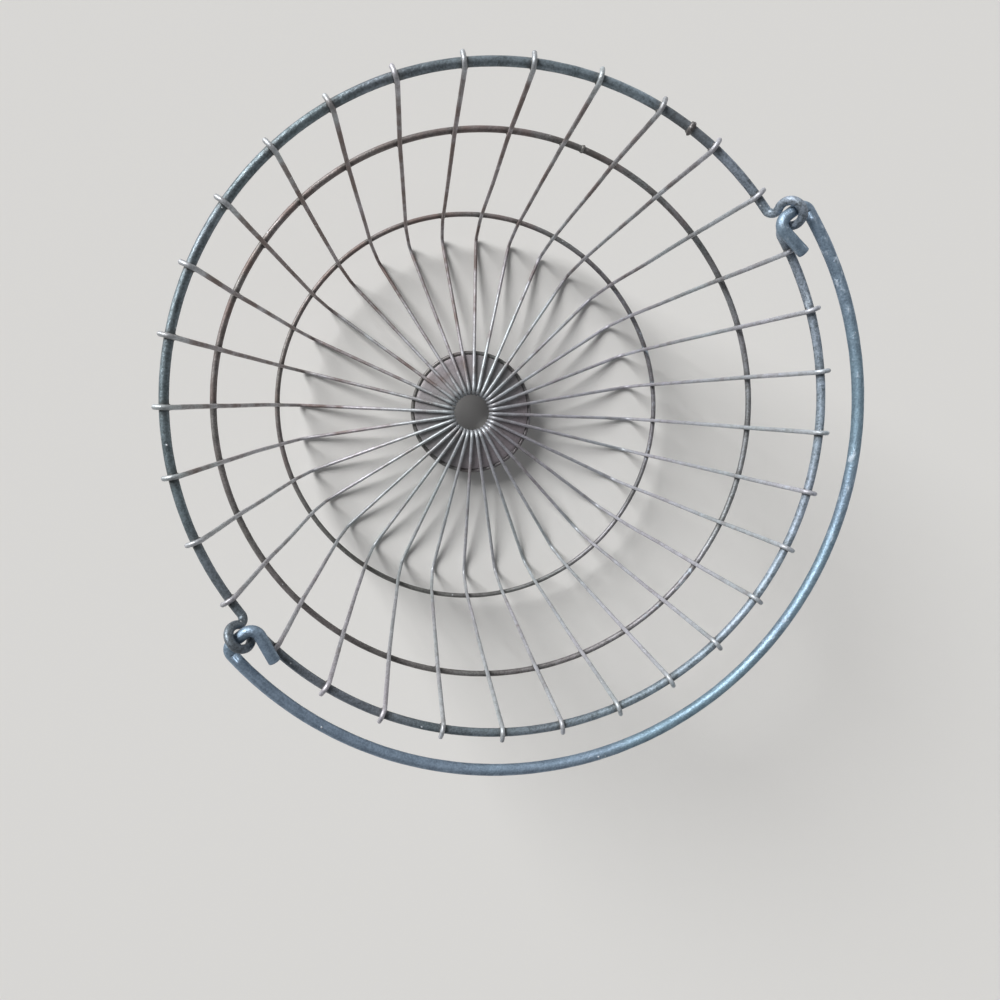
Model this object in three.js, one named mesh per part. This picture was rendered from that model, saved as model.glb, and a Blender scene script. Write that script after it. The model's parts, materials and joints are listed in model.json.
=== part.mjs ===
// Wire egg basket in millimetres, +Z up. It stands on the plane z = 0 with its axis on Z.
// The two ears bent in the rim lie on the X axis, and the bail rests towards -Y.
import * as THREE from 'three';

// Wire diameters
const RIM_WIRE = 4.3;
const RIB_WIRE = 2.45;
const UPPER_HOOP_WIRE = 3.4;
const LOWER_HOOP_WIRE = 3.4;
const CENTRE_RING_WIRE = 3;
const BAIL_WIRE = 5.7;

// Rim and hoops: radius of the wire's centre line, and its height above the floor
const RIM_RADIUS = 160;
const RIM_HEIGHT = 207;
const UPPER_HOOP_RADIUS = 154.8;
const UPPER_HOOP_HEIGHT = 143;
const LOWER_HOOP_RADIUS = 140.4;
const LOWER_HOOP_HEIGHT = 25.5;

// Ribs: the tip folds over the rim, the foot turns inwards on the floor, and the base rises to a throat
const RIBS_PER_SIDE = 16;
const TIP_DROOP = THREE.MathUtils.degToRad(30);
const TIP_RUN = 3;
const HOOP_BEND = 30;
const BASE_RADIUS = 129.4;
const FOOT_BEND = 5;
const FOOT_RUN = 7;
const FOOT_RISE_BEND = 9;
const PUNT_HEIGHT = 24;
const THROAT_BEND = 4;
const THROAT_LEG = 5;
const THROAT_GAP = 0.42;

// Centre plate and the ring round it, under the ribs
const CENTRE_RING_RADIUS = 44.4;
const PLATE_THICKNESS = 1;

// Ears: an eye in the rim wire that leans outwards and is pinched at its neck
const EAR_LEAN = THREE.MathUtils.degToRad(28);
const EAR_NECK = THREE.MathUtils.degToRad(38);

// Bail: an arch outside the rim with a hook at each end
const ARM_STANDOFF = 12.5;
const HOOK_BEND = 4.5;
const HOOK_SPLAY = THREE.MathUtils.degToRad(12);
const HOOK_LEG = 20;

// Clearances
const SEAT_GAP = 0.3;
const EYE_CLEARANCE = 0.5;
const LEG_CLEARANCE = 0.55;
const HOOK_CLEARANCE = 0.5;

// Facets
const WIRE_SIDES = 8;
const BEND_STEP = THREE.MathUtils.degToRad(26);
const EAR_STEP = THREE.MathUtils.degToRad(29);
const ARCH_STEPS = 40;
const RING_STEPS = 48;
const BEAD_STEPS = 9;

const ribCount = 2 * RIBS_PER_SIDE;
const ribPitch = 2 * Math.PI / ribCount;

const galvanised = new THREE.MeshStandardMaterial({ color: 0x858a8c, roughness: 0.5, metalness: 0.8 });
const dullZinc = new THREE.MeshStandardMaterial({ color: 0x7c7873, roughness: 0.55, metalness: 0.75 });
const blueZinc = new THREE.MeshStandardMaterial({ color: 0x7b838a, roughness: 0.45, metalness: 0.8 });
const sheetZinc = new THREE.MeshStandardMaterial({ color: 0x6f6d70, roughness: 0.6, metalness: 0.7 });

// Corner radius of a many-sided section that has the round wire's own area
function facetRadius(wire) {
  const turn = 2 * Math.PI / WIRE_SIDES;
  return wire / 2 * Math.sqrt(turn / Math.sin(turn));
}

// Centre line of a flat bent wire: straight runs between corners, each corner rounded to its bend radius.
// Every station holds a point and the direction of the wire there.
function bendLine(corners) {
  const stations = [];
  const last = corners.length - 1;
  const heading = i => corners[i + 1].at.clone().sub(corners[i].at).normalize();
  stations.push({ at: corners[0].at, along: heading(0) });
  for (let i = 1; i < last; i++) {
    const before = heading(i - 1);
    const after = heading(i);
    const turn = Math.atan2(before.cross(after), before.dot(after));
    const setback = corners[i].bend * Math.tan(Math.abs(turn) / 2);
    const start = corners[i].at.clone().addScaledVector(before, -setback);
    const inward = new THREE.Vector2(-before.y, before.x).multiplyScalar(Math.sign(turn));
    const centre = start.clone().addScaledVector(inward, corners[i].bend);
    const steps = Math.max(1, Math.ceil(Math.abs(turn) / BEND_STEP));
    for (let step = 0; step <= steps; step++) {
      const angle = turn * step / steps;
      const at = start.clone().rotateAround(centre, angle);
      const along = before.clone().rotateAround(new THREE.Vector2(), angle);
      stations.push({ at, along });
    }
  }
  stations.push({ at: corners[last].at, along: heading(last - 1) });
  return stations;
}

// Points on an arc in a plane, with the direction of travel at each
function arcLine(centre, radius, from, to, steps) {
  const stations = [];
  const way = Math.sign(to - from);
  for (let step = 0; step <= steps; step++) {
    const angle = from + (to - from) * step / steps;
    const out = new THREE.Vector2(Math.cos(angle), Math.sin(angle));
    const at = centre.clone().addScaledVector(out, radius);
    const along = new THREE.Vector2(-out.y, out.x).multiplyScalar(way);
    stations.push({ at, along });
  }
  return stations;
}

// Stations of a plane set into space by its two axes
function setInSpace(stations, origin, axisX, axisY) {
  const side = axisX.clone().cross(axisY);
  const carry = v => axisX.clone().multiplyScalar(v.x).addScaledVector(axisY, v.y);
  return stations.map(({ at, along }) => ({ at: carry(at).add(origin), along: carry(along), side }));
}

// Solid wire along its stations, closed into a ring or capped at both ends.
// The section has flats towards its side and square to it.
function wireSolid(stations, wire, isRing = false) {
  const radius = facetRadius(wire);
  const sides = WIRE_SIDES;
  const positions = [];
  const index = [];
  for (const { at, along, side } of stations) {
    const first = side.clone().addScaledVector(along, -side.dot(along)).normalize();
    const second = along.clone().cross(first);
    for (let corner = 0; corner < sides; corner++) {
      const angle = 2 * Math.PI * (corner + 0.5) / sides;
      const point = at.clone().addScaledVector(first, radius * Math.cos(angle));
      point.addScaledVector(second, radius * Math.sin(angle));
      positions.push(point.x, point.y, point.z);
    }
  }
  const count = stations.length;
  const spans = isRing ? count : count - 1;
  for (let span = 0; span < spans; span++) {
    const here = span * sides;
    const next = (span + 1) % count * sides;
    for (let corner = 0; corner < sides; corner++) {
      const beside = (corner + 1) % sides;
      index.push(here + corner, here + beside, next + beside);
      index.push(here + corner, next + beside, next + corner);
    }
  }
  if (!isRing) {
    const end = (count - 1) * sides;
    for (let corner = 1; corner < sides - 1; corner++) {
      index.push(0, corner + 1, corner);
      index.push(end, end + corner, end + corner + 1);
    }
  }
  const geometry = new THREE.BufferGeometry();
  geometry.setAttribute('position', new THREE.Float32BufferAttribute(positions, 3));
  geometry.setIndex(index);
  geometry.computeVertexNormals();
  return geometry;
}

const basket = new THREE.Group();

function addPiece(name, geometry, material) {
  const piece = new THREE.Mesh(geometry, material);
  piece.name = name;
  basket.add(piece);
  return piece;
}

// Rib profile in the plane of radius and height
const ribFlat = facetRadius(RIB_WIRE) * Math.cos(Math.PI / WIRE_SIDES);
const throatRadius = (2 * ribFlat + THROAT_GAP) / (2 * Math.sin(ribPitch / 2));

function ribBeside(hoopRadius, hoopWire, height) {
  return new THREE.Vector2(hoopRadius - hoopWire / 2 - SEAT_GAP - RIB_WIRE / 2, height);
}

const rimCentre = new THREE.Vector2(RIM_RADIUS, RIM_HEIGHT);
const rimWrap = RIM_WIRE / 2 + SEAT_GAP + RIB_WIRE / 2;
const atUpperHoop = ribBeside(UPPER_HOOP_RADIUS, UPPER_HOOP_WIRE, UPPER_HOOP_HEIGHT);
const atLowerHoop = ribBeside(LOWER_HOOP_RADIUS, LOWER_HOOP_WIRE, LOWER_HOOP_HEIGHT);
const atThroat = new THREE.Vector2(throatRadius, PUNT_HEIGHT);
const footEnd = new THREE.Vector2(BASE_RADIUS - FOOT_RUN, ribFlat);
const baseRun = footEnd.clone().sub(atThroat);
const baseSlope = Math.atan2(-baseRun.y, baseRun.x);

// The wall leaves the rim on a line that touches the fold round the rim wire
const toHoop = atUpperHoop.clone().sub(rimCentre);
const wallAngle = toHoop.angle() - Math.acos(rimWrap / toHoop.length());
const wallTouch = new THREE.Vector2(Math.cos(wallAngle), Math.sin(wallAngle));
const tipTouch = new THREE.Vector2(Math.sin(TIP_DROOP), Math.cos(TIP_DROOP));
const tipWay = new THREE.Vector2(Math.cos(TIP_DROOP), -Math.sin(TIP_DROOP));
const foldCorner = wallTouch.clone().add(tipTouch);
foldCorner.multiplyScalar(rimWrap / (1 + wallTouch.dot(tipTouch))).add(rimCentre);
const ribTip = rimCentre.clone().addScaledVector(tipTouch, rimWrap).addScaledVector(tipWay, TIP_RUN);

const throatDrop = THROAT_BEND * Math.tan((Math.PI / 2 + baseSlope) / 2) + THROAT_LEG;
const ribCorners = [
  { at: ribTip },
  { at: foldCorner, bend: rimWrap },
  { at: atUpperHoop, bend: HOOP_BEND },
  { at: atLowerHoop, bend: HOOP_BEND },
  { at: new THREE.Vector2(BASE_RADIUS, ribFlat), bend: FOOT_BEND },
  { at: footEnd, bend: FOOT_RISE_BEND },
  { at: atThroat, bend: THROAT_BEND },
  { at: new THREE.Vector2(throatRadius, PUNT_HEIGHT - throatDrop) },
];

function buildRibs() {
  const outward = new THREE.Vector3(1, 0, 0);
  const upward = new THREE.Vector3(0, 0, 1);
  const stations = setInSpace(bendLine(ribCorners), new THREE.Vector3(), outward, upward);
  for (let rib = 0; rib < ribCount; rib++) {
    const name = `rib_${String(rib + 1).padStart(2, '0')}`;
    const piece = addPiece(name, wireSolid(stations, RIB_WIRE), dullZinc);
    piece.rotation.z = (rib + 0.5) * ribPitch;
  }
}

// Hoops of plain round wire, with corners at the ribs
function buildHoop(name, radius, wire, height, steps) {
  const geometry = new THREE.TorusGeometry(radius, facetRadius(wire), WIRE_SIDES, steps);
  addPiece(name, geometry, galvanised).position.z = height;
}

// The centre ring and plate lie against the underside of the rising base
function baseHeight(radius, below) {
  return PUNT_HEIGHT - (radius - throatRadius) * Math.tan(baseSlope) - below / Math.cos(baseSlope);
}

function buildCentreRing() {
  const below = RIB_WIRE / 2 + SEAT_GAP + CENTRE_RING_WIRE / 2;
  const height = baseHeight(CENTRE_RING_RADIUS, below);
  buildHoop('centre_ring', CENTRE_RING_RADIUS, CENTRE_RING_WIRE, height, ribCount);
}

function buildCentrePlate() {
  const under = SEAT_GAP + RIB_WIRE / 2;
  const bead = THROAT_BEND - under;
  const beadCentre = new THREE.Vector2(throatRadius + THROAT_BEND, 0);
  beadCentre.y = baseHeight(beadCentre.x, THROAT_BEND);
  const edge = CENTRE_RING_RADIUS - CENTRE_RING_WIRE / 2 - SEAT_GAP;
  const topAngle = Math.PI / 2 - baseSlope;
  const rootAngle = topAngle - Math.acos((bead - PLATE_THICKNESS) / bead) + 2 * Math.PI;
  const profile = [
    new THREE.Vector2(edge, baseHeight(edge, under + PLATE_THICKNESS)),
    new THREE.Vector2(edge, baseHeight(edge, under)),
    ...arcLine(beadCentre, bead, topAngle, rootAngle, BEAD_STEPS).map(({ at }) => at),
  ];
  profile.push(profile[0]);
  const geometry = new THREE.LatheGeometry(profile, RING_STEPS);
  geometry.rotateX(Math.PI / 2);
  addPiece('centre_plate', geometry, sheetZinc);
}

// Eye of an ear, in the plane that leans outwards from the rim
const pivotRise = RIM_WIRE / 2 + SEAT_GAP + RIB_WIRE + LEG_CLEARANCE + BAIL_WIRE / 2;
const eyeRadius = (BAIL_WIRE / 2 + RIM_WIRE / 2 + EYE_CLEARANCE) / Math.cos(EAR_LEAN);
const eyeHeight = pivotRise / Math.cos(EAR_LEAN);
const earFoot = (eyeHeight - eyeRadius * Math.sin(EAR_NECK)) / (1 + Math.sin(EAR_NECK));
const earHalf = (eyeRadius + earFoot) * Math.cos(EAR_NECK);
const earAngle = Math.asin(earHalf / RIM_RADIUS);
const earBase = RIM_RADIUS * Math.cos(earAngle);
const eyeOut = earBase + eyeHeight * Math.sin(EAR_LEAN);

function earStations() {
  const up = new THREE.Vector3(Math.sin(EAR_LEAN), 0, Math.cos(EAR_LEAN));
  const across = new THREE.Vector3(0, 1, 0);
  const origin = new THREE.Vector3(earBase, 0, RIM_HEIGHT);
  const footTurn = Math.PI / 2 + EAR_NECK;
  const footSteps = Math.ceil(footTurn / EAR_STEP);
  const crownSteps = Math.ceil((Math.PI + 2 * EAR_NECK) / EAR_STEP);
  const nearFoot = new THREE.Vector2(-earHalf, earFoot);
  const farFoot = new THREE.Vector2(earHalf, earFoot);
  const crown = new THREE.Vector2(0, eyeHeight);
  const rise = arcLine(nearFoot, earFoot, -Math.PI / 2, EAR_NECK, footSteps);
  const loop = arcLine(crown, eyeRadius, Math.PI + EAR_NECK, -EAR_NECK, crownSteps);
  const fall = arcLine(farFoot, earFoot, Math.PI - EAR_NECK, 1.5 * Math.PI, footSteps);
  const path = [...rise, ...loop.slice(1, -1), ...fall];
  const stations = setInSpace(path, origin, across, up);
  // The section turns from the rim's own set to the eye's lean along each foot
  stations.forEach((station, i) => {
    const fromEnd = Math.min(i, stations.length - 1 - i);
    const lean = EAR_LEAN * Math.min(1, fromEnd / footSteps);
    station.side = new THREE.Vector3(Math.cos(lean), 0, -Math.sin(lean));
  });
  return stations;
}

function buildRim() {
  const half = earStations();
  for (let spot = 1; spot < ribCount; spot++) {
    const angle = spot * ribPitch / 2;
    const side = new THREE.Vector3(Math.cos(angle), Math.sin(angle), 0);
    const along = new THREE.Vector3(-side.y, side.x, 0);
    const at = side.clone().multiplyScalar(RIM_RADIUS).setZ(RIM_HEIGHT);
    half.push({ at, along, side });
  }
  const turned = v => new THREE.Vector3(-v.x, -v.y, v.z);
  const opposite = half.map(({ at, along, side }) => (
    { at: turned(at), along: turned(along), side: turned(side) }
  ));
  addPiece('rim', wireSolid([...half, ...opposite], RIM_WIRE, true), galvanised);
}

// Bail, flat in its own plane: its pivot line is the X axis there and its arch reaches towards -Y
function buildBail() {
  const halfWidth = RIM_RADIUS + ARM_STANDOFF;
  const turn = Math.PI / 2 + HOOK_SPLAY;
  const bendStart = eyeOut - RIM_WIRE / 2 - HOOK_CLEARANCE;
  const hookCorner = new THREE.Vector2(bendStart - HOOK_BEND * Math.tan(turn / 2), 0);
  const legWay = new THREE.Vector2(Math.sin(HOOK_SPLAY), -Math.cos(HOOK_SPLAY));
  const hook = bendLine([
    { at: hookCorner.clone().addScaledVector(legWay, HOOK_LEG) },
    { at: hookCorner, bend: HOOK_BEND },
    { at: new THREE.Vector2(halfWidth, 0), bend: HOOK_BEND },
    { at: new THREE.Vector2(halfWidth, -2 * HOOK_BEND) },
  ]).slice(0, -1);
  const archCentre = new THREE.Vector2(0, -HOOK_BEND);
  const arch = arcLine(archCentre, halfWidth, 0, -Math.PI, ARCH_STEPS).slice(1, -1);
  const farHook = hook.map(({ at, along }) => (
    { at: new THREE.Vector2(-at.x, at.y), along: new THREE.Vector2(along.x, -along.y) }
  )).reverse();
  const across = new THREE.Vector3(1, 0, 0);
  const away = new THREE.Vector3(0, 1, 0);
  const stations = setInSpace([...hook, ...arch, ...farHook], new THREE.Vector3(), across, away);
  const bail = addPiece('bail', wireSolid(stations, BAIL_WIRE), blueZinc);
  bail.position.z = RIM_HEIGHT + pivotRise;
}

buildRibs();
buildRim();
buildHoop('upper_hoop', UPPER_HOOP_RADIUS, UPPER_HOOP_WIRE, UPPER_HOOP_HEIGHT, 2 * ribCount);
buildHoop('lower_hoop', LOWER_HOOP_RADIUS, LOWER_HOOP_WIRE, LOWER_HOOP_HEIGHT, 2 * ribCount);
buildCentreRing();
buildCentrePlate();
buildBail();

export default basket;
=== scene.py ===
# Galvanised wire egg basket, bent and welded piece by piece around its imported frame
import json
import math
import bmesh
import bpy
from mathutils import Matrix, Vector, noise


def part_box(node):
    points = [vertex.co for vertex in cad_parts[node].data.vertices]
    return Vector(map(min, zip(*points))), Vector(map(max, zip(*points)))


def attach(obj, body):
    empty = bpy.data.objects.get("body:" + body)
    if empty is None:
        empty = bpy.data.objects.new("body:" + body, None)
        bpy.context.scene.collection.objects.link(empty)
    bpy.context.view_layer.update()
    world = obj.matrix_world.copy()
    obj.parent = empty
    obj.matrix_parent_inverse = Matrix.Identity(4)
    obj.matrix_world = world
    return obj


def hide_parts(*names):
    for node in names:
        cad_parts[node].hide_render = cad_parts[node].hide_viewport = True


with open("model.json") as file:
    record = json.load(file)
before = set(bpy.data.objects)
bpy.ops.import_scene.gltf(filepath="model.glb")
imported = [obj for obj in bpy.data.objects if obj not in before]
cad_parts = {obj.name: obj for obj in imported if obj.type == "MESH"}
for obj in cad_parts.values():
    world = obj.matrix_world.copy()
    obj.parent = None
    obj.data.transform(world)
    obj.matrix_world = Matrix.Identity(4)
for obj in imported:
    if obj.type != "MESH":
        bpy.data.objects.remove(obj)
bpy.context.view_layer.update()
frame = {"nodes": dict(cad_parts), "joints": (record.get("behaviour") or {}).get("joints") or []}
print("frame loaded:", len(frame["nodes"]), "nodes")

upward = Vector((0, 0, 1))
scene = bpy.context.scene


# Camera of the photograph: above the mouth, looking down into the basket

viewForm = {
    "at": (-0.04018, 0.04431, 0.53251),
    "right": (0.79057, -0.59278, 0.15366),
    "top": (0.61154, 0.77734, -0.14755),
    "lens": 24.48,
    "sensor": 36.0,
    "near": 0.01,
}


def setCamera(form):
    camera = bpy.data.cameras.new("camera")
    camera.lens = form["lens"]
    camera.sensor_width = form["sensor"]
    camera.clip_start = form["near"]
    holder = bpy.data.objects.new("camera", camera)
    right = Vector(form["right"]).normalized()
    back = right.cross(Vector(form["top"])).normalized()
    turn = Matrix((right, back.cross(right), back)).transposed().to_4x4()
    holder.matrix_world = Matrix.Translation(form["at"]) @ turn
    scene.collection.objects.link(holder)
    scene.camera = holder


setCamera(viewForm)
print("camera set")


# Zinc coat: one group that every wire and the plate use, each with its own values

coatForm = {
    "cloud": {"scale": 170.0, "detail": 5.0, "roughness": 0.6, "band": (0.34, 0.66)},
    "streak": {"scale": 1.0, "detail": 4.0, "roughness": 0.55, "band": (0.32, 0.68)},
    "streakStretch": (45.0, 420.0, 420.0),  # along the wire, then across its section
    "streakShare": 0.45,
    "grain": {"scale": 1050.0, "detail": 3.0, "roughness": 0.6, "band": (0.34, 0.66)},
    "grainShare": 0.42,
    # slow change of tint and bloom from one stretch to the next
    "drift": {"scale": 11.0, "detail": 2.0, "roughness": 0.5, "band": (0.35, 0.65)},
    "tints": ((0.95, 1.02, 1.00, 1), (1.03, 0.99, 1.02, 1)),
    "weatherAndLitSide": (0.80, -0.60, 0.0),  # the side that stood out in the wet, whose pale bluish film is also painted light on that side
    "weatherLightAndShadeFrom": (-0.06, 0.17),
    # pale bluish film, partly real weathering and partly painted light on the weather side
    "filmAndLightColour": (0.45, 0.54, 0.67, 1),
    "oxide": {"scale": 1.0, "detail": 6.0, "roughness": 0.62, "band": (0.99, 1.20)},
    "oxideStretch": (150.0, 330.0, 330.0),
    "oxideDrift": 0.40,
    "oxideWeather": 0.16,
    "oxideColour": (0.54, 0.62, 0.70, 1),
    "tarnish": {"scale": 48.0, "detail": 6.0, "roughness": 0.62, "band": (0.62, 0.98)},
    # tarnish side: partly real brown tarnish, partly painted shade and painted brown reflection on the
    # wall ribs on the key lamp's side, whose inner faces look away from the lamp
    "tarnishAndShadeSide": (0.17, 0.98, 0.0),
    "tarnishAndShadeShare": 0.26,
    "tarnishAndShadeBelow": (-0.206, -0.192),  # minus the height: the side's tarnish and painted shade stop short of the rim, leaving the rib folds pale
    "tarnishAndShadeColour": (0.152, 0.108, 0.096, 1),
    # soot colour, also used as painted contact shade round the cross welds
    "sootAndShadeColour": (0.062, 0.061, 0.056, 1),
    "sootAndShadeShare": 0.75,
    "speckScale": 330.0,
    "speckSize": (0.20, 0.09),
    "speckColour": (0.72, 0.75, 0.78, 1),
    "roughness": (0.54, 0.42),  # dull spots, then clean zinc
    "filmRoughness": 0.62,
    "oxideRoughness": 0.80,
    "oxideMetal": 0.20,
    "gritDepth": 0.00016,
}
nodeGrid = (200, -180)  # column and row of the node editor


def addNode(tree, kind, spot, **settings):
    node = tree.nodes.new(kind)
    node.location = (spot[0] * nodeGrid[0], spot[1] * nodeGrid[1])
    for name, value in settings.items():
        setattr(node, name, value)
    return node


def setInput(tree, socket, value):
    if isinstance(value, (float, tuple)):
        socket.default_value = value
    else:
        tree.links.new(value, socket)


def addNoise(tree, spot, vector, form):
    node = addNode(tree, "ShaderNodeTexNoise", spot)
    tree.links.new(vector, node.inputs["Vector"])
    for name in ("scale", "detail", "roughness"):
        node.inputs[name.title()].default_value = form[name]
    return node.outputs["Fac"]


def addBand(tree, spot, value, reach):
    node = addNode(tree, "ShaderNodeMapRange", spot, interpolation_type="SMOOTHSTEP")
    tree.links.new(value, node.inputs["Value"])
    node.inputs["From Min"].default_value = reach[0]
    node.inputs["From Max"].default_value = reach[1]
    return node.outputs["Result"]


def addMath(tree, spot, operation, first, second):
    node = addNode(tree, "ShaderNodeMath", spot, operation=operation)
    for socket, value in zip(node.inputs, (first, second)):
        setInput(tree, socket, value)
    return node.outputs[0]


def addMix(tree, spot, share, first, second, kind="RGBA", blend="MIX"):
    node = addNode(tree, "ShaderNodeMix", spot, data_type=kind, blend_type=blend)
    setInput(tree, node.inputs["Factor"], share)
    pair = [s for s in node.inputs if s.enabled and s.name in ("A", "B")]
    for socket, value in zip(pair, (first, second)):
        setInput(tree, socket, value)
    return next(s for s in node.outputs if s.enabled)


def addStretch(tree, spot, vector, scale):
    node = addNode(tree, "ShaderNodeMapping", spot)
    node.inputs["Scale"].default_value = scale
    tree.links.new(vector, node.inputs["Vector"])
    return node.outputs["Vector"]


def addSide(tree, spot, place, way, reach):
    # rises from 0 to 1 along a direction through the basket
    node = addNode(tree, "ShaderNodeVectorMath", spot, operation="DOT_PRODUCT")
    tree.links.new(place, node.inputs[0])
    node.inputs[1].default_value = way
    return addBand(tree, (spot[0] + 1, spot[1]), node.outputs["Value"], reach)


def makeZincCoat(form):
    tree = bpy.data.node_groups.new("zincCoat", "ShaderNodeTree")
    face = tree.interface
    face.new_socket("Wire Place", in_out="INPUT", socket_type="NodeSocketVector")
    for name in ("Bright", "Deep"):
        face.new_socket(name, in_out="INPUT", socket_type="NodeSocketColor")
    for name in ("Weld Burn And Shade", "Filmlight", "Oxide", "Tarnish", "Specks", "Metal"):
        face.new_socket(name, in_out="INPUT", socket_type="NodeSocketFloat")
    face.new_socket("Color", in_out="OUTPUT", socket_type="NodeSocketColor")
    for name in ("Roughness", "Metallic", "Height"):
        face.new_socket(name, in_out="OUTPUT", socket_type="NodeSocketFloat")
    given = addNode(tree, "NodeGroupInput", (-6, 0)).outputs
    place = addNode(tree, "ShaderNodeTexCoord", (-6, 3)).outputs["Object"]

    # cloudy zinc, drawn out a little along the wire, with a fine grain
    cloud = addNoise(tree, (-4, 0), place, form["cloud"])
    cloud = addBand(tree, (-3, 0), cloud, form["cloud"]["band"])
    drawn = addStretch(tree, (-5, 1), given["Wire Place"], form["streakStretch"])
    streak = addNoise(tree, (-4, 1), drawn, form["streak"])
    streak = addBand(tree, (-3, 1), streak, form["streak"]["band"])
    mottle = addMix(tree, (-2, 0), form["streakShare"], cloud, streak, "FLOAT")
    grain = addNoise(tree, (-4, 6), place, form["grain"])
    grain = addBand(tree, (-3, 6), grain, form["grain"]["band"])
    mottle = addMix(tree, (-1, 1), form["grainShare"], mottle, grain, "FLOAT")
    colour = addMix(tree, (-1, 0), mottle, given["Deep"], given["Bright"])
    drift = addNoise(tree, (-4, -1), place, form["drift"])
    stretch = addBand(tree, (-3, -1), drift, form["drift"]["band"])
    tint = addMix(tree, (-2, -1), stretch, *form["tints"])
    colour = addMix(tree, (0, -1), 1.0, colour, tint, blend="MULTIPLY")

    # brown tarnish with painted shade on one side, a pale film that is partly painted light on the
    # other side, soot and painted contact shade at the welds, white oxide, and specks of zinc
    tarnish = addNoise(tree, (-4, 2), place, form["tarnish"])
    tarnish = addMath(tree, (-3, 2), "ADD", tarnish, given["Tarnish"])
    # more tarnish towards one side: partly real tarnish, partly painted shade and painted brown
    # reflection
    shaded = addSide(tree, (-5, 2), place, form["tarnishAndShadeSide"], form["weatherLightAndShadeFrom"])
    below = addSide(tree, (-6, 2.5), place, -upward, form["tarnishAndShadeBelow"])
    shaded = addMath(tree, (-4, 2.5), "MULTIPLY", shaded, below)
    shaded = addMath(tree, (-3, 2.5), "MULTIPLY", shaded, form["tarnishAndShadeShare"])
    tarnish = addMath(tree, (-2, 2.5), "ADD", tarnish, shaded)
    tarnish = addBand(tree, (-2, 2), tarnish, form["tarnish"]["band"])
    colour = addMix(tree, (0, 0), tarnish, colour, form["tarnishAndShadeColour"])
    # the weather side: its pale bluish film is partly real weathering, partly painted light that
    # brightens and blues the wires there
    weatherAndLight = addSide(tree, (-6, 4), place, form["weatherAndLitSide"], form["weatherLightAndShadeFrom"])
    filmlight = addMath(tree, (-2, 3.5), "MULTIPLY", weatherAndLight, mottle)
    filmlight = addMath(tree, (-1, 3.5), "MULTIPLY", filmlight, given["Filmlight"])
    colour = addMix(tree, (0.25, 0), filmlight, colour, form["filmAndLightColour"])
    # soot at the welds, with painted contact shade where rib and ring meet
    sootAndShade = addMath(tree, (-3, 1.5), "MULTIPLY", given["Weld Burn And Shade"], form["sootAndShadeShare"])
    colour = addMix(tree, (0.5, 0), sootAndShade, colour, form["sootAndShadeColour"])
    drawn = addStretch(tree, (-6, 2), given["Wire Place"], form["oxideStretch"])
    oxide = addNoise(tree, (-5, 3), drawn, form["oxide"])
    oxide = addMath(tree, (-4, 3), "ADD", oxide, given["Oxide"])
    bloom = addMath(tree, (-4, 2.5), "MULTIPLY", drift, form["oxideDrift"])
    oxide = addMath(tree, (-3, 3), "ADD", oxide, bloom)
    wet = addMath(tree, (-4, 3.5), "MULTIPLY", weatherAndLight, form["oxideWeather"])
    oxide = addMath(tree, (-2.5, 3), "ADD", oxide, wet)
    oxide = addBand(tree, (-2, 3), oxide, form["oxide"]["band"])
    colour = addMix(tree, (1, 0), oxide, colour, form["oxideColour"])
    cells = addNode(tree, "ShaderNodeTexVoronoi", (-4, 4))
    cells.inputs["Scale"].default_value = form["speckScale"]
    tree.links.new(place, cells.inputs["Vector"])
    dot = addBand(tree, (-3, 4), cells.outputs["Distance"], form["speckSize"])
    pick = addNode(tree, "ShaderNodeSeparateColor", (-3, 5))
    tree.links.new(cells.outputs["Color"], pick.inputs["Color"])
    chosen = addMath(tree, (-2, 5), "LESS_THAN", pick.outputs["Red"], given["Specks"])
    speck = addMath(tree, (-1, 4), "MULTIPLY", dot, chosen)
    colour = addMix(tree, (2, 0), speck, colour, form["speckColour"])

    # dull where it is cloudy, chalky under the film and the oxide
    dull, clean = form["roughness"]
    rough = addMix(tree, (1, 2), mottle, dull, clean, "FLOAT")
    rough = addMix(tree, (1.5, 2), filmlight, rough, form["filmRoughness"], "FLOAT")
    rough = addMix(tree, (2, 2), oxide, rough, form["oxideRoughness"], "FLOAT")
    crust = addMath(tree, (1, 3), "MAXIMUM", oxide, tarnish)
    crust = addMath(tree, (1.25, 3), "MAXIMUM", crust, sootAndShade)
    chalk = addMath(tree, (1.5, 3), "MAXIMUM", crust, filmlight)
    metal = addMix(tree, (2, 3), chalk, given["Metal"], form["oxideMetal"], "FLOAT")
    height = addMath(tree, (0, 5), "ADD", mottle, crust)
    height = addMath(tree, (3, 5), "ADD", height, speck)
    result = addNode(tree, "NodeGroupOutput", (4, 0)).inputs
    coat = {"Color": colour, "Roughness": rough, "Metallic": metal, "Height": height}
    for name, value in coat.items():
        tree.links.new(value, result[name])
    return tree


zincCoat = makeZincCoat(coatForm)


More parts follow.
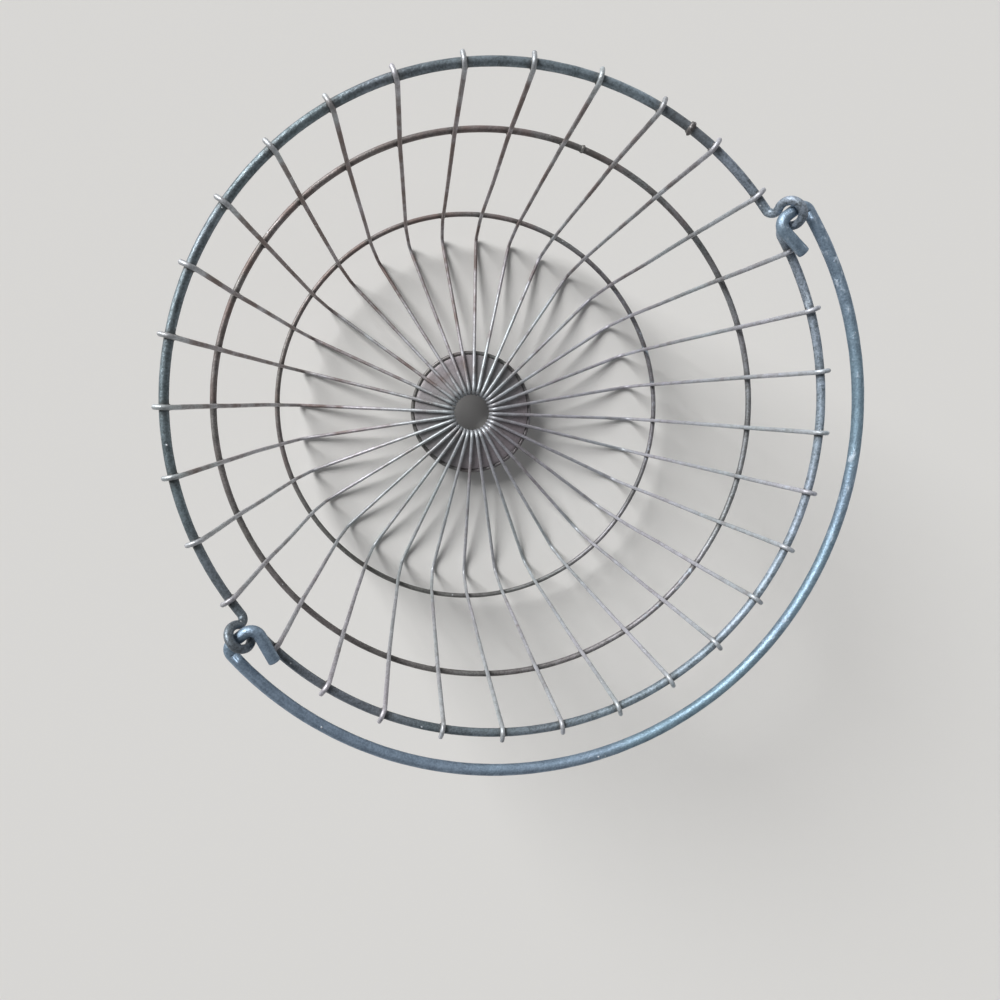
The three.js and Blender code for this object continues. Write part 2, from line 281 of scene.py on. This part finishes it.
def makeZinc(name, look):
    material = bpy.data.materials.new(name)
    material.use_nodes = True
    tree = material.node_tree
    shader = tree.nodes["Principled BSDF"]
    coat = addNode(tree, "ShaderNodeGroup", (-3, 0), node_tree=zincCoat)
    for socket in ("Bright", "Deep"):
        coat.inputs[socket].default_value = (*look[socket.lower()], 1)
    for socket in ("Filmlight", "Oxide", "Tarnish", "Specks", "Metal"):
        coat.inputs[socket].default_value = look[socket.lower()]
    run = addNode(tree, "ShaderNodeAttribute", (-4, 0), attribute_name="wirePlace")
    tree.links.new(run.outputs["Vector"], coat.inputs["Wire Place"])
    near = addNode(tree, "ShaderNodeAttribute", (-4, 1), attribute_name="weldBurnAndShade")
    tree.links.new(near.outputs["Fac"], coat.inputs["Weld Burn And Shade"])
    bump = addNode(tree, "ShaderNodeBump", (-1, 2))
    bump.inputs["Strength"].default_value = look["bump"]
    bump.inputs["Distance"].default_value = coatForm["gritDepth"]
    tree.links.new(coat.outputs["Height"], bump.inputs["Height"])
    tree.links.new(bump.outputs["Normal"], shader.inputs["Normal"])
    tree.links.new(coat.outputs["Color"], shader.inputs["Base Color"])
    tree.links.new(coat.outputs["Roughness"], shader.inputs["Roughness"])
    tree.links.new(coat.outputs["Metallic"], shader.inputs["Metallic"])
    return material


print("zinc coat ready")


# Wire bender: a section ring is fed along straight runs and spun round bends

benderForm = {
    "step": 0.9,  # wire thicknesses from one section ring to the next
    "turnStep": 0.2,
    "endSteps": 4,
    "merge": 0.00005,
}
lumpForm = {"scale": 210.0, "fine": 620.0, "fineShare": 0.45}
# how dark the zinc burns at a weld, plus painted contact shade at the cross welds, with distances from
# the middle of a weld
sootAndShadeForm = {"most": 1.0, "full": 0.0021, "none": 0.0042}
heatForm = {"most": 0.8, "full": 0.010, "none": 0.022}


def startWire(wire, sides, at, heading, side):
    bm = bmesh.new()
    layer = bm.verts.layers.float_vector.new("wirePlace")
    across = heading.cross(side)
    place = Matrix((side, across, heading)).transposed().to_4x4()
    place.translation = at
    ring = bmesh.ops.create_circle(bm, cap_ends=False, radius=wire / 2, segments=sides, matrix=place)
    for vert in ring["verts"]:
        out = vert.co - at
        vert[layer] = (0, out.dot(side), out.dot(across))
    return {
        "bm": bm,
        "layer": layer,
        "sides": sides,
        "spacing": wire * benderForm["step"],
        "at": at.copy(),
        "heading": heading.copy(),
        "verts": ring["verts"],
        "edges": bm.edges[:],
        "firstEdges": bm.edges[:],
    }


def keepRing(job, geom):
    job["verts"] = [g for g in geom if isinstance(g, bmesh.types.BMVert)]
    ends = set(job["verts"])
    edges = [g for g in geom if isinstance(g, bmesh.types.BMEdge)]
    job["edges"] = [e for e in edges if e.verts[0] in ends and e.verts[1] in ends]


def feed(job, length):
    steps = max(1, math.ceil(length / job["spacing"]))
    for _ in range(steps):
        made = bmesh.ops.extrude_edge_only(job["bm"], edges=job["edges"])
        keepRing(job, made["geom"])
        bmesh.ops.translate(job["bm"], verts=job["verts"], vec=job["heading"] * length / steps)
    job["at"] += job["heading"] * length


def bend(job, radius, angle, normal):
    byLength = math.ceil(radius * abs(angle) / job["spacing"])
    steps = max(byLength, math.ceil(abs(angle) / benderForm["turnStep"]))
    centre = job["at"] + normal.cross(job["heading"]) * math.copysign(radius, angle)
    made = bmesh.ops.spin(
        job["bm"], geom=job["verts"] + job["edges"], cent=centre, axis=normal, angle=angle, steps=steps,
    )
    keepRing(job, made["geom_last"])
    turn = Matrix.Rotation(angle, 3, normal)
    job["at"] = centre + turn @ (job["at"] - centre)
    job["heading"] = turn @ job["heading"]


def spinRing(job, radius):
    steps = math.ceil(2 * math.pi * radius / job["spacing"])
    bmesh.ops.spin(
        job["bm"], geom=job["verts"] + job["edges"], cent=(0, 0, 0), axis=upward, angle=2 * math.pi,
        steps=steps, use_merge=True,
    )


def kink(job, angle, normal):
    turn = Matrix.Rotation(angle, 3, normal)
    bmesh.ops.rotate(job["bm"], verts=job["verts"], cent=job["at"], matrix=turn)
    job["heading"] = turn @ job["heading"]


def bendThrough(job, corners, normal):
    for (corner, radius), (following, _) in zip(corners, corners[1:]):
        after = (following - corner).normalized()
        before = job["heading"]
        turn = math.atan2(before.cross(after).dot(normal), before.dot(after))
        setback = radius * math.tan(abs(turn) / 2)
        feed(job, (corner - job["at"]).dot(before) - setback)
        bend(job, radius, turn, normal)
    feed(job, (corners[-1][0] - job["at"]).dot(job["heading"]))


def markRun(job, run):
    # length along the wire, from a start that no other wire has
    bm = job["bm"]
    bm.verts.ensure_lookup_table()
    last = None
    for start in range(0, len(bm.verts), job["sides"]):
        ring = [bm.verts[i] for i in range(start, start + job["sides"])]
        middle = sum((v.co for v in ring), Vector()) / len(ring)
        run += (middle - last).length if last else 0
        last = middle
        for vert in ring:
            vert[job["layer"]].x = run


def closeEnd(bm, edges, rounding):
    bmesh.ops.contextual_create(bm, geom=edges)
    bmesh.ops.bevel(
        bm, geom=edges, offset=rounding, offset_type="OFFSET", segments=benderForm["endSteps"],
        profile=0.5, affect="EDGES", material=-1, clamp_overlap=True,
    )


def lumpCoat(bm, depth):
    # runs and beads of zinc left by the dip
    bm.normal_update()
    for vert in bm.verts:
        coarse = noise.noise(vert.co * lumpForm["scale"])
        fine = noise.noise(vert.co * lumpForm["fine"])
        vert.co += vert.normal * depth * (coarse + fine * lumpForm["fineShare"])


def burnAndShade(away, form):
    near = (form["none"] - away) / (form["none"] - form["full"])
    return form["most"] * max(0.0, min(near, 1.0))


def markHeat(bm, weld):
    # a ring burns on both sides of its butt weld
    layer = bm.verts.layers.float.new("weldBurnAndShade")
    for vert in bm.verts:
        vert[layer] = burnAndShade((vert.co - weld).length, heatForm)


def markWeldSootAndShade(bm):
    # soot plus painted contact shade, darkest at a weld of a rib to the rim or a hoop, clean a few
    # millimetres away
    layers = bm.verts.layers.float
    layer = layers.get("weldBurnAndShade") or layers.new("weldBurnAndShade")
    for vert in bm.verts:
        turn = math.atan2(vert.co.y, vert.co.x) / ribPitch % 1 - 0.5
        out = math.hypot(vert.co.x, vert.co.y)
        for radius, height in ringPlaces:
            away = math.hypot(out - radius, vert.co.z - height, out * turn * ribPitch)
            vert[layer] = max(vert[layer], burnAndShade(away, sootAndShadeForm))


def finishPiece(bm, name, material, body, slot, *nodes):
    bmesh.ops.recalc_face_normals(bm, faces=bm.faces)
    if body == "basket":
        markWeldSootAndShade(bm)
    if "wirePlace" not in bm.verts.layers.float_vector:
        place = bm.verts.layers.float_vector.new("wirePlace")
        for vert in bm.verts:
            vert[place] = vert.co
    for face in bm.faces:
        face.smooth = True
    mesh = bpy.data.meshes.new(name)
    bm.to_mesh(mesh)
    bm.free()
    mesh.materials.append(material)
    piece = bpy.data.objects.new(name, mesh)
    scene.collection.objects.link(piece)
    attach(piece, body)
    if nodes:
        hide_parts(*nodes)


def frameFlat(wire, sides=8):
    # half width over the flats of the frame's many-sided wire
    turn = 2 * math.pi / sides
    return wire / 2 * math.sqrt(turn / math.sin(turn)) * math.cos(turn / 2)


def outwardAt(azimuth):
    return Vector((math.cos(azimuth), math.sin(azimuth), 0))


# Rim: one heavy wire with an eye bent in it at each end of the X axis

rimForm = {
    "wire": 0.0043,
    "sides": 18,
    "weldAt": math.radians(21.9),
    "flash": (0.0020, 0.0010),  # half its length along the wire, and how far it stands proud
    "earLean": math.radians(28),
    "earNeck": math.radians(38),
    "eyeClearance": 0.0003,
    "lumps": 0.00006,
    "coatFrom": 20.0,
}
rimLook = {
    "bright": (0.265, 0.308, 0.345), "deep": (0.074, 0.090, 0.100),
    "filmlight": 0.66, "oxide": 0.05, "tarnish": -0.14, "specks": 0.06, "metal": 0.72, "bump": 1.0,
}
bailWire = 0.0057
pivot = Vector(frame["joints"][0]["pos_m"])
rimLow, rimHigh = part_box("rim")
rimHeight = rimLow.z + frameFlat(rimForm["wire"])
rimRadius = rimHigh.y - frameFlat(rimForm["wire"])


def earSizes():
    lean, neck = rimForm["earLean"], rimForm["earNeck"]
    eye = (bailWire / 2 + rimForm["wire"] / 2 + rimForm["eyeClearance"]) / math.cos(lean)
    rise = (pivot.z - rimHeight) / math.cos(lean)
    foot = (rise - eye * math.sin(neck)) / (1 + math.sin(neck))
    half = (eye + foot) * math.cos(neck)
    return eye, rise, foot, math.asin(half / rimRadius)


eyeRadius, eyeRise, earFoot, earAngle = earSizes()
eyeOut = rimRadius * math.cos(earAngle) + eyeRise * math.sin(rimForm["earLean"])


def bendEar(job):
    lean, neck = rimForm["earLean"], rimForm["earNeck"]
    kink(job, earAngle, upward)
    outward = job["heading"].cross(upward)
    leaning = outward * math.sin(lean) + upward * math.cos(lean)
    normal = job["heading"].cross(leaning)
    bend(job, earFoot, math.pi / 2 + neck, normal)
    bend(job, eyeRadius, -math.pi - 2 * neck, normal)
    bend(job, earFoot, math.pi / 2 + neck, normal)
    kink(job, earAngle, upward)


def buildRim(material):
    weld = rimForm["weldAt"]
    out = outwardAt(weld)
    start = out * rimRadius + upward * rimHeight
    job = startWire(rimForm["wire"], rimForm["sides"], start, upward.cross(out), out)
    bend(job, rimRadius, math.pi - earAngle - weld, upward)
    bendEar(job)
    bend(job, rimRadius, math.pi - 2 * earAngle, upward)
    bendEar(job)
    bend(job, rimRadius, weld - earAngle, upward)
    markRun(job, rimForm["coatFrom"])
    bm = job["bm"]
    bmesh.ops.remove_doubles(bm, verts=bm.verts, dist=benderForm["merge"])
    lumpCoat(bm, rimForm["lumps"])
    markHeat(bm, start)
    finishPiece(bm, "rim_wire", material, "basket", "rim_wire", "rim")


# Hoops and centre ring: plain welded rings outside the wall and under the base

hoopFlash = (0.0016, 0.00045)
hoopForm = {
    "upper_hoop": {
        "wire": 0.0034, "weldAt": math.radians(35), "flash": hoopFlash, "coatFrom": 30.0,
    },
    "lower_hoop": {
        "wire": 0.0034, "weldAt": math.radians(-62), "flash": hoopFlash, "coatFrom": 32.0,
    },
    "centre_ring": {
        "wire": 0.0030, "weldAt": math.radians(118), "flash": hoopFlash, "coatFrom": 34.0,
    },
}
hoopSides = 14
hoopLumps = 0.00004
hoopLook = {
    "bright": (0.300, 0.282, 0.274), "deep": (0.088, 0.081, 0.078),
    "filmlight": 0.25, "oxide": 0.04, "tarnish": 0.05, "specks": 0.04, "metal": 0.68, "bump": 0.9,
}


def hoopPlace(node):
    low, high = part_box(node)
    half = (high.z - low.z) / 2
    return high.x - half, low.z + half


def buildHoop(node, form, material):
    radius, height = hoopPlace(node)
    out = outwardAt(form["weldAt"])
    start = out * radius + upward * height
    job = startWire(form["wire"], hoopSides, start, upward.cross(out), out)
    spinRing(job, radius)
    markRun(job, form["coatFrom"])
    bm = job["bm"]
    lumpCoat(bm, hoopLumps)
    markHeat(bm, start)
    finishPiece(bm, node + "_wire", material, "basket", "hoop_wire", node)


# Ribs: folded over the rim, down the wall, in along the base and down the throat

ribForm = {
    "wire": 0.00245,
    "count": 32,
    "sides": 12,
    "bite": 0.00015,  # how far a weld sinks one wire in the other
    "tipDroop": math.radians(30),
    "tipRun": 0.0033,
    "tipRound": 0.92,  # shares of half the wire, at the folded end and at the cut one
    "cutRound": 0.3,
    "hoopBend": 0.030,
    "footRadius": 0.1294,
    "footBend": 0.005,
    "footRun": 0.007,
    "footRiseBend": 0.009,
    "puntHeight": 0.024,
    "throatBend": 0.004,
    "throatLeg": 0.005,
    "throatGap": 0.00042,
    "wander": 0.00035,
    "wanderScale": 17.0,
    "wanderStep": 7.3,
    "lumps": 0.00004,
    "coatStep": 0.53,
}
ribLook = {
    "bright": (0.620, 0.626, 0.660), "deep": (0.290, 0.288, 0.300),
    "filmlight": 0.25, "oxide": 0.03, "tarnish": 0.14, "specks": 0.03, "metal": 0.58, "bump": 0.8,
}
ribPitch = 2 * math.pi / ribForm["count"]
ribHalf = ribForm["wire"] / 2
throatRadius = (2 * frameFlat(ribForm["wire"]) + ribForm["throatGap"]) / (2 * math.sin(ribPitch / 2))
footEnd = Vector((ribForm["footRadius"] - ribForm["footRun"], ribHalf))
throatTop = Vector((throatRadius, ribForm["puntHeight"]))
baseSlope = math.atan2(throatTop.y - footEnd.y, footEnd.x - throatTop.x)


def ribBeside(node):
    radius, height = hoopPlace(node)
    return Vector((radius - hoopForm[node]["wire"] / 2 - ribHalf + ribForm["bite"], height))


def ribCorners():
    wrap = rimForm["wire"] / 2 + ribHalf - ribForm["bite"]
    rim = Vector((rimRadius, rimHeight))
    upper = ribBeside("upper_hoop")
    droop = ribForm["tipDroop"]
    toHoop = upper - rim
    wallAngle = math.atan2(toHoop.y, toHoop.x) - math.acos(wrap / toHoop.length)
    wallTouch = Vector((math.cos(wallAngle), math.sin(wallAngle)))
    tipTouch = Vector((math.sin(droop), math.cos(droop)))
    tipWay = Vector((math.cos(droop), -math.sin(droop)))
    fold = rim + (wallTouch + tipTouch) * wrap / (1 + wallTouch.dot(tipTouch))
    tip = rim + tipTouch * wrap + tipWay * ribForm["tipRun"]
    drop = ribForm["throatBend"] * math.tan((math.pi / 2 + baseSlope) / 2) + ribForm["throatLeg"]
    return [
        (tip, 0),
        (fold, wrap),
        (upper, ribForm["hoopBend"]),
        (ribBeside("lower_hoop"), ribForm["hoopBend"]),
        (Vector((ribForm["footRadius"], ribHalf)), ribForm["footBend"]),
        (footEnd, ribForm["footRiseBend"]),
        (throatTop, ribForm["throatBend"]),
        (throatTop - Vector((0, drop)), 0),
    ]


def buildRib(index, material):
    azimuth = (index + 0.5) * ribPitch
    out = outwardAt(azimuth)
    normal = out.cross(upward)
    corners = [(out * at.x + upward * at.y, radius) for at, radius in ribCorners()]
    start = corners[0][0]
    heading = (corners[1][0] - start).normalized()
    job = startWire(ribForm["wire"], ribForm["sides"], start, heading, normal)
    bendThrough(job, corners[1:], normal)
    markRun(job, index * ribForm["coatStep"])
    bm = job["bm"]
    closeEnd(bm, job["firstEdges"], ribHalf * ribForm["tipRound"])
    closeEnd(bm, job["edges"], ribHalf * ribForm["cutRound"])
    lumpCoat(bm, ribForm["lumps"])
    for vert in bm.verts:  # hand-fed wire is never quite straight
        place = Vector((index * ribForm["wanderStep"], vert.co.z * ribForm["wanderScale"], 0))
        vert.co += normal * noise.noise(place) * ribForm["wander"]
    node = f"rib_{index + 1:02d}"
    finishPiece(bm, node + "_wire", material, "basket", "rib_wire", node)


# Centre plate: a shallow cone of sheet under the ribs, rolled over round the drain hole

plateForm = {
    "sheet": 0.001,
    "steps": 96,
    "coneSteps": 9,
    "beadSteps": 12,
    "roll": math.radians(285),
    "corner": math.radians(60),  # sharper edges are the sheet's cut ones
    "cutRound": 0.0002,
    "cutSteps": 2,
    "merge": 0.00001,
    "dents": 0.00012,
    "dentScale": 60.0,
}
plateLook = {
    "bright": (0.330, 0.300, 0.312), "deep": (0.220, 0.198, 0.206),
    "filmlight": 0.0, "oxide": 0.04, "tarnish": -0.02, "specks": 0.01, "metal": 0.30, "bump": 0.6,
}


def baseHeight(radius, below):
    # height of a line that lies below the ribs' middle line
    drop = (radius - throatRadius) * math.tan(baseSlope)
    return ribForm["puntHeight"] - drop - below / math.cos(baseSlope)


def buildPlate(material):
    below = ribHalf - ribForm["bite"]
    ringRadius, _ = hoopPlace("centre_ring")
    edge = ringRadius - hoopForm["centre_ring"]["wire"] / 2
    bead = ribForm["throatBend"] - below - plateForm["sheet"] / 2
    beadAt = Vector((throatRadius + ribForm["throatBend"], 0, 0))
    beadAt.z = baseHeight(beadAt.x, ribForm["throatBend"])
    middle = below + plateForm["sheet"] / 2
    bm = bmesh.new()
    rollStart = beadAt + Vector((math.sin(baseSlope), 0, math.cos(baseSlope))) * bead
    tip = bm.verts.new((edge, 0, baseHeight(edge, middle)))
    span = (rollStart - tip.co) / plateForm["coneSteps"]
    for _ in range(plateForm["coneSteps"]):
        tip = bmesh.ops.extrude_vert_indiv(bm, verts=[tip])["verts"][0]
        tip.co += span
    bmesh.ops.spin(
        bm, geom=[tip], cent=beadAt, axis=(0, -1, 0), angle=plateForm["roll"],
        steps=plateForm["beadSteps"],
    )
    bmesh.ops.spin(
        bm, geom=bm.verts[:] + bm.edges[:], cent=(0, 0, 0), axis=upward, angle=2 * math.pi,
        steps=plateForm["steps"], use_merge=True,
    )
    bmesh.ops.remove_doubles(bm, verts=bm.verts, dist=plateForm["merge"])
    for vert in bm.verts:
        vert.co.z += noise.noise(vert.co * plateForm["dentScale"]) * plateForm["dents"]
    bmesh.ops.recalc_face_normals(bm, faces=bm.faces)
    bmesh.ops.solidify(bm, geom=bm.faces[:], thickness=plateForm["sheet"])
    corners = [e for e in bm.edges if e.calc_face_angle(0) > plateForm["corner"]]
    bmesh.ops.bevel(
        bm, geom=corners, offset=plateForm["cutRound"], offset_type="OFFSET",
        segments=plateForm["cutSteps"], profile=0.5, affect="EDGES", material=-1, clamp_overlap=True,
    )
    finishPiece(bm, "centre_plate_sheet", material, "basket", "centre_sheet", "centre_plate")


# Bail: an arch outside the rim with a hook through each eye

bailForm = {
    "wire": bailWire,
    "sides": 22,
    "standoff": 0.0125,
    "hookBend": 0.0045,
    "hookSplay": math.radians(12),
    "hookLeg": 0.020,
    "hookClearance": 0.0005,
    "cutRound": 0.0007,
    "lumps": 0.00008,
    "coatFrom": 40.0,
}
# slate blue zinc; part of the blue in these colours is painted cool light
bailBlueLitLook = {
    "bright": (0.316, 0.424, 0.530), "deep": (0.133, 0.186, 0.240),
    "filmlight": 0.06, "oxide": 0.09, "tarnish": -0.1, "specks": 0.08, "metal": 0.72, "bump": 1.0,
}


def buildBail(material):
    half = rimRadius + bailForm["standoff"]
    turn = math.pi / 2 + bailForm["hookSplay"]
    bendAt = eyeOut - rimForm["wire"] / 2 - bailForm["hookClearance"]
    corner = pivot + Vector((bendAt - bailForm["hookBend"] * math.tan(turn / 2), 0, 0))
    legWay = Vector((math.sin(bailForm["hookSplay"]), -math.cos(bailForm["hookSplay"]), 0))
    legEnd = corner + legWay * bailForm["hookLeg"]
    elbow = pivot + Vector((half, 0, 0))
    archStart = elbow - Vector((0, bailForm["hookBend"], 0))
    across = Vector((-1, 1, 1))  # the far hook is the near one seen in a mirror
    farElbow, farCorner, farLegEnd = (point * across for point in (elbow, corner, legEnd))
    job = startWire(bailForm["wire"], bailForm["sides"], legEnd, -legWay, upward)
    tight = bailForm["hookBend"]
    bendThrough(job, [(corner, tight), (elbow, tight), (archStart, 0)], upward)
    bend(job, half, -math.pi, upward)
    bendThrough(job, [(farElbow, tight), (farCorner, tight), (farLegEnd, 0)], upward)
    markRun(job, bailForm["coatFrom"])
    bm = job["bm"]
    closeEnd(bm, job["firstEdges"], bailForm["cutRound"])
    closeEnd(bm, job["edges"], bailForm["cutRound"])
    lumpCoat(bm, bailForm["lumps"])
    finishPiece(bm, "bail_wire", material, "bail", "bail_wire", "bail")


# Welds: squeezed beads where two wires cross, and the flash of each ring's butt weld

weldForm = {
    "rim": (0.0016, 0.0014, 0.0013),  # half sizes: round the ring, outwards, upwards
    "hoop": (0.0017, 0.0008, 0.0017),
    "centre": (0.0015, 0.0015, 0.0008),
    "beadSteps": (8, 6),  # round the bead, then from pole to pole
    "flashSteps": (24, 16),
    "beadRough": 0.00022,
    "flashRough": 0.00045,
    "roughScale": 900.0,
}
weldLook = {
    "bright": (0.240, 0.232, 0.228), "deep": (0.100, 0.095, 0.092),
    "filmlight": 0.0, "oxide": 0.06, "tarnish": 0.02, "specks": 0.0, "metal": 0.65, "bump": 0.9,
}


def addBead(bm, azimuth, radius, height, halves, steps=weldForm["beadSteps"]):
    made = bmesh.ops.create_uvsphere(bm, u_segments=steps[0], v_segments=steps[1], radius=1)
    along, out, up = halves
    size = Matrix.Diagonal((out, along, up, 1))
    place = Matrix.Rotation(azimuth, 4, "Z") @ Matrix.Translation((radius, 0, height)) @ size
    bmesh.ops.transform(bm, matrix=place, verts=made["verts"])


def roughen(bm, depth):
    bm.normal_update()
    for vert in bm.verts:
        vert.co += vert.normal * noise.noise(vert.co * weldForm["roughScale"]) * depth


def buildWelds(material):
    bm = bmesh.new()
    rimTouch = rimForm["wire"] / 2
    for index in range(ribForm["count"]):
        azimuth = (index + 0.5) * ribPitch
        addBead(bm, azimuth, rimRadius, rimHeight + rimTouch, weldForm["rim"])
        addBead(bm, azimuth, rimRadius - rimTouch, rimHeight, weldForm["hoop"])
        for node in ("upper_hoop", "lower_hoop"):
            radius, height = hoopPlace(node)
            addBead(bm, azimuth, radius - hoopForm[node]["wire"] / 2, height, weldForm["hoop"])
        radius, height = hoopPlace("centre_ring")
        addBead(bm, azimuth, radius, height + hoopForm["centre_ring"]["wire"] / 2, weldForm["centre"])
    roughen(bm, weldForm["beadRough"])
    finishPiece(bm, "cross_welds", material, "basket", "hoop_wire")
    bm = bmesh.new()
    rings = [(rimRadius, rimHeight, rimForm)]
    rings += [(*hoopPlace(node), form) for node, form in hoopForm.items()]
    for radius, height, form in rings:
        along, proud = form["flash"]
        thick = form["wire"] / 2 + proud
        addBead(bm, form["weldAt"], radius, height, (along, thick, thick), weldForm["flashSteps"])
    roughen(bm, weldForm["flashRough"])
    finishPiece(bm, "butt_welds", material, "basket", "hoop_wire")


ringPlaces = [(rimRadius, rimHeight), hoopPlace("upper_hoop"), hoopPlace("lower_hoop")]
buildBail(makeZinc("bailBlueLitZinc", bailBlueLitLook))
buildRim(makeZinc("rimZinc", rimLook))
print("rim and bail bent")
hoopZinc = makeZinc("hoopZinc", hoopLook)
for hoopNode, hoopSizes in hoopForm.items():
    buildHoop(hoopNode, hoopSizes, hoopZinc)
ribZinc = makeZinc("ribZinc", ribLook)
for ribIndex in range(ribForm["count"]):
    buildRib(ribIndex, ribZinc)
print("hoops and ribs bent")
buildPlate(makeZinc("plateZinc", plateLook))
buildWelds(makeZinc("weldZinc", weldLook))
print("plate and welds done")


# Stage: pale floor and soft studio light

stageForm = {
    "floorSize": 40.0,
    "floorColour": (0.74, 0.73, 0.71, 1),
    "floorRoughness": 0.9,
    "floorSpecular": 0.1,
    "floorDrop": 0.0002,  # keeps the feet clear of the floor
    "wallColour": (0.97, 0.98, 1.0, 1),
    "horizon": 0.72,  # the studio wall is pale by the floor and dim at the ceiling
    "wall": 0.33,
    "wallFrom": 0.28,
    "ceiling": 0.09,
    "ceilingFrom": 0.75,
}
lampForm = {
    "key": {
        "from": math.radians(100), "high": math.radians(30),
        "angle": math.radians(28), "strength": 4.6,
    },
    "fill": {
        "from": math.radians(-60), "high": math.radians(60),
        "angle": math.radians(60), "strength": 0.2,
    },
}


def buildFloor():
    bm = bmesh.new()
    bmesh.ops.create_grid(bm, x_segments=1, y_segments=1, size=stageForm["floorSize"] / 2)
    mesh = bpy.data.meshes.new("floor")
    bm.to_mesh(mesh)
    bm.free()
    material = bpy.data.materials.new("paleFloor")
    material.use_nodes = True
    shader = material.node_tree.nodes["Principled BSDF"]
    shader.inputs["Base Color"].default_value = stageForm["floorColour"]
    shader.inputs["Roughness"].default_value = stageForm["floorRoughness"]
    shader.inputs["Specular IOR Level"].default_value = stageForm["floorSpecular"]
    mesh.materials.append(material)
    floor = bpy.data.objects.new("floor", mesh)
    floor.location.z = -stageForm["floorDrop"]
    scene.collection.objects.link(floor)


def addLamp(name, form):
    lamp = bpy.data.lights.new(name, "SUN")
    lamp.energy = form["strength"]
    lamp.angle = form["angle"]
    holder = bpy.data.objects.new(name, lamp)
    way = outwardAt(form["from"]) * math.cos(form["high"]) + upward * math.sin(form["high"])
    holder.rotation_euler = way.to_track_quat("Z", "Y").to_euler()
    scene.collection.objects.link(holder)


def lightStage(form):
    world = bpy.data.worlds.new("studio")
    world.use_nodes = True
    tree = world.node_tree
    shade = tree.nodes["Background"]
    shade.inputs["Color"].default_value = form["wallColour"]
    sky = addNode(tree, "ShaderNodeTexCoord", (-4, 0))
    split = addNode(tree, "ShaderNodeSeparateXYZ", (-3, 0))
    tree.links.new(sky.outputs["Generated"], split.inputs["Vector"])
    low = addBand(tree, (-2, 0), split.outputs["Z"], (0, form["wallFrom"]))
    wall = addMix(tree, (-1, 0), low, form["horizon"], form["wall"], "FLOAT")
    high = addBand(tree, (-1, 1), split.outputs["Z"], (0, form["ceilingFrom"]))
    strength = addMix(tree, (0, 0), high, wall, form["ceiling"], "FLOAT")
    tree.links.new(strength, shade.inputs["Strength"])
    scene.world = world
    for name, lamp in lampForm.items():
        addLamp(name, lamp)
    scene.view_settings.view_transform = "Standard"


buildFloor()
lightStage(stageForm)
print("stage lit")
